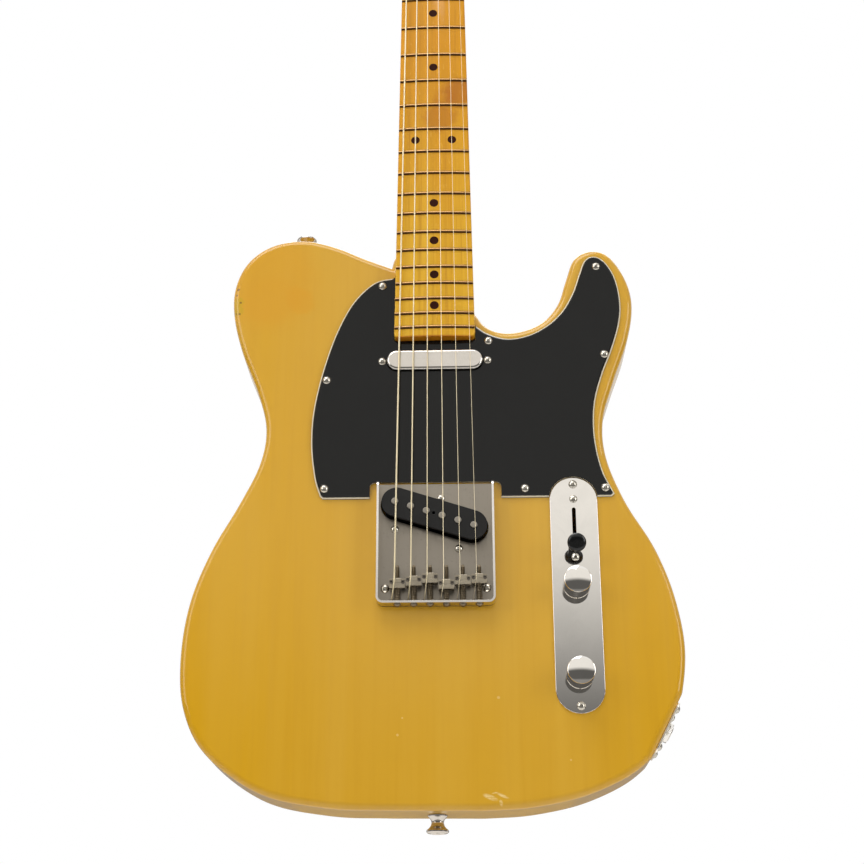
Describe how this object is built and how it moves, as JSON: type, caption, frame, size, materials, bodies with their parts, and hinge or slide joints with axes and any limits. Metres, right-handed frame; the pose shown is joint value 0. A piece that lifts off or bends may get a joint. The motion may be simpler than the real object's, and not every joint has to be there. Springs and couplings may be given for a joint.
{
  "type": "electric guitar",
  "caption": "Solid-body electric guitar with a single cutaway, bolt-on maple neck, slanted bridge pickup, walled bridge plate and side output jack.",
  "frame": {"origin": "seat of the tail strap button on the body's tail end, on the centre line and half way through the thickness", "axes": "+Z along the neck from the tail to the head, -Y out of the front face towards the listener, +X to the treble side"},
  "size_m": [0.3301, 0.0701, 1.0031],
  "materials": {
    "butterscotch": "clear gloss",
    "guard": "gloss",
    "amber_maple": "clear gloss",
    "walnut": "satin",
    "bone": "satin",
    "nickel_silver": "polished",
    "clay": "satin",
    "chrome": "bright",
    "steel": "satin",
    "wound": "fine ridges",
    "plain": "bright",
    "black_plastic": "gloss",
    "fibre": "satin",
    "copper_coil": "waxed",
    "brass": "dull",
    "magnet": "satin",
    "wire": "waxed cloth"
  },
  "bodies": {
    "guitar": {"body": "butterscotch", "pickguard": "guard", "plate_screws": "steel", "neck_plate": "chrome", "neck_screws": "steel", "strap_buttons": "chrome", "strap_screws": "steel", "string_ferrules": "chrome", "neck": "amber_maple", "skunk_stripe": "walnut", "truss_rod": "steel", "truss_rod_nut": "brass", "nut": "bone", "frets": "nickel_silver", "position_dots": "clay", "string_trees": "chrome", "head_screws": "steel", "tuner_housings": "chrome", "tuner_bushings": "chrome", "wound_strings": "wound", "plain_strings": "plain", "neck_pickup_cover": "chrome", "neck_pickup_coil": "copper_coil", "bridge_pickup_flatwork": "fibre", "bridge_pickup_coil": "copper_coil", "bridge_pickup_poles": "magnet", "pickup_base": "brass", "machine_screws": "steel", "pickup_springs": "steel", "bridge_plate": "chrome", "bridge_screws": "steel", "saddles": "nickel_silver", "saddle_height_screws": "steel", "intonation_screws": "steel", "intonation_springs": "steel", "control_plate": "chrome", "pot_housings": "steel", "hex_nuts": "chrome", "switch_frame": "brass", "jack_plate": "chrome", "output_jack": "brass", "wiring": "wire"},
    "post_1": {"tuner_post_1": "chrome"},
    "button_1": {"tuner_button_1": "chrome"},
    "post_2": {"tuner_post_2": "chrome"},
    "button_2": {"tuner_button_2": "chrome"},
    "post_3": {"tuner_post_3": "chrome"},
    "button_3": {"tuner_button_3": "chrome"},
    "post_4": {"tuner_post_4": "chrome"},
    "button_4": {"tuner_button_4": "chrome"},
    "post_5": {"tuner_post_5": "chrome"},
    "button_5": {"tuner_button_5": "chrome"},
    "post_6": {"tuner_post_6": "chrome"},
    "button_6": {"tuner_button_6": "chrome"},
    "volume": {"volume_knob": "chrome", "volume_shaft": "steel"},
    "tone": {"tone_knob": "chrome", "tone_shaft": "steel"},
    "switch": {"switch_lever": "steel", "switch_tip": "black_plastic"}
  },
  "joints": [
    {"name": "tuner_post_1_turn", "type": "hinge", "parent": "guitar", "child": "post_1", "pos_m": [-0.02068, -0.0254, 0.835], "axis": [0, -1, 0], "continuous": true},
    {"name": "tuner_button_1_turn", "type": "hinge", "parent": "guitar", "child": "button_1", "pos_m": [-0.03058, -0.0068, 0.84474], "axis": [-0.9691, 0, 0.2468], "continuous": true},
    {"name": "tuner_post_2_turn", "type": "hinge", "parent": "guitar", "child": "post_2", "pos_m": [-0.01355, -0.0254, 0.8605], "axis": [0, -1, 0], "continuous": true},
    {"name": "tuner_button_2_turn", "type": "hinge", "parent": "guitar", "child": "button_2", "pos_m": [-0.02345, -0.0068, 0.87025], "axis": [-0.9691, 0, 0.2468], "continuous": true},
    {"name": "tuner_post_3_turn", "type": "hinge", "parent": "guitar", "child": "post_3", "pos_m": [-0.00672, -0.0254, 0.886], "axis": [0, -1, 0], "continuous": true},
    {"name": "tuner_button_3_turn", "type": "hinge", "parent": "guitar", "child": "button_3", "pos_m": [-0.01662, -0.0068, 0.89575], "axis": [-0.9691, 0, 0.2468], "continuous": true},
    {"name": "tuner_post_4_turn", "type": "hinge", "parent": "guitar", "child": "post_4", "pos_m": [-0.0002, -0.0254, 0.9115], "axis": [0, -1, 0], "continuous": true},
    {"name": "tuner_button_4_turn", "type": "hinge", "parent": "guitar", "child": "button_4", "pos_m": [-0.0101, -0.0068, 0.92124], "axis": [-0.9691, 0, 0.2468], "continuous": true},
    {"name": "tuner_post_5_turn", "type": "hinge", "parent": "guitar", "child": "post_5", "pos_m": [0.00595, -0.0254, 0.937], "axis": [0, -1, 0], "continuous": true},
    {"name": "tuner_button_5_turn", "type": "hinge", "parent": "guitar", "child": "button_5", "pos_m": [-0.00395, -0.0068, 0.94674], "axis": [-0.9691, 0, 0.2468], "continuous": true},
    {"name": "tuner_post_6_turn", "type": "hinge", "parent": "guitar", "child": "post_6", "pos_m": [0.0118, -0.0254, 0.9625], "axis": [0, -1, 0], "continuous": true},
    {"name": "tuner_button_6_turn", "type": "hinge", "parent": "guitar", "child": "button_6", "pos_m": [0.0019, -0.0068, 0.97225], "axis": [-0.9691, 0, 0.2468], "continuous": true},
    {"name": "volume_turn", "type": "hinge", "parent": "guitar", "child": "volume", "pos_m": [0.0927, -0.0225, 0.1453], "axis": [0, -1, 0], "range_deg": [0, 300]},
    {"name": "tone_turn", "type": "hinge", "parent": "guitar", "child": "tone", "pos_m": [0.0927, -0.0225, 0.0853], "axis": [0, -1, 0], "range_deg": [0, 300]},
    {"name": "switch_throw", "type": "hinge", "parent": "guitar", "child": "switch", "pos_m": [0.0927, -0.0003, 0.1847], "axis": [1, 0, 0], "range_deg": [-42, 0]}
  ],
  "couplings": [
    {"joint": "tuner_post_1_turn", "follows": "tuner_button_1_turn", "ratio": 0.071429},
    {"joint": "tuner_post_2_turn", "follows": "tuner_button_2_turn", "ratio": 0.071429},
    {"joint": "tuner_post_3_turn", "follows": "tuner_button_3_turn", "ratio": 0.071429},
    {"joint": "tuner_post_4_turn", "follows": "tuner_button_4_turn", "ratio": 0.071429},
    {"joint": "tuner_post_5_turn", "follows": "tuner_button_5_turn", "ratio": 0.071429},
    {"joint": "tuner_post_6_turn", "follows": "tuner_button_6_turn", "ratio": 0.071429}
  ]
}
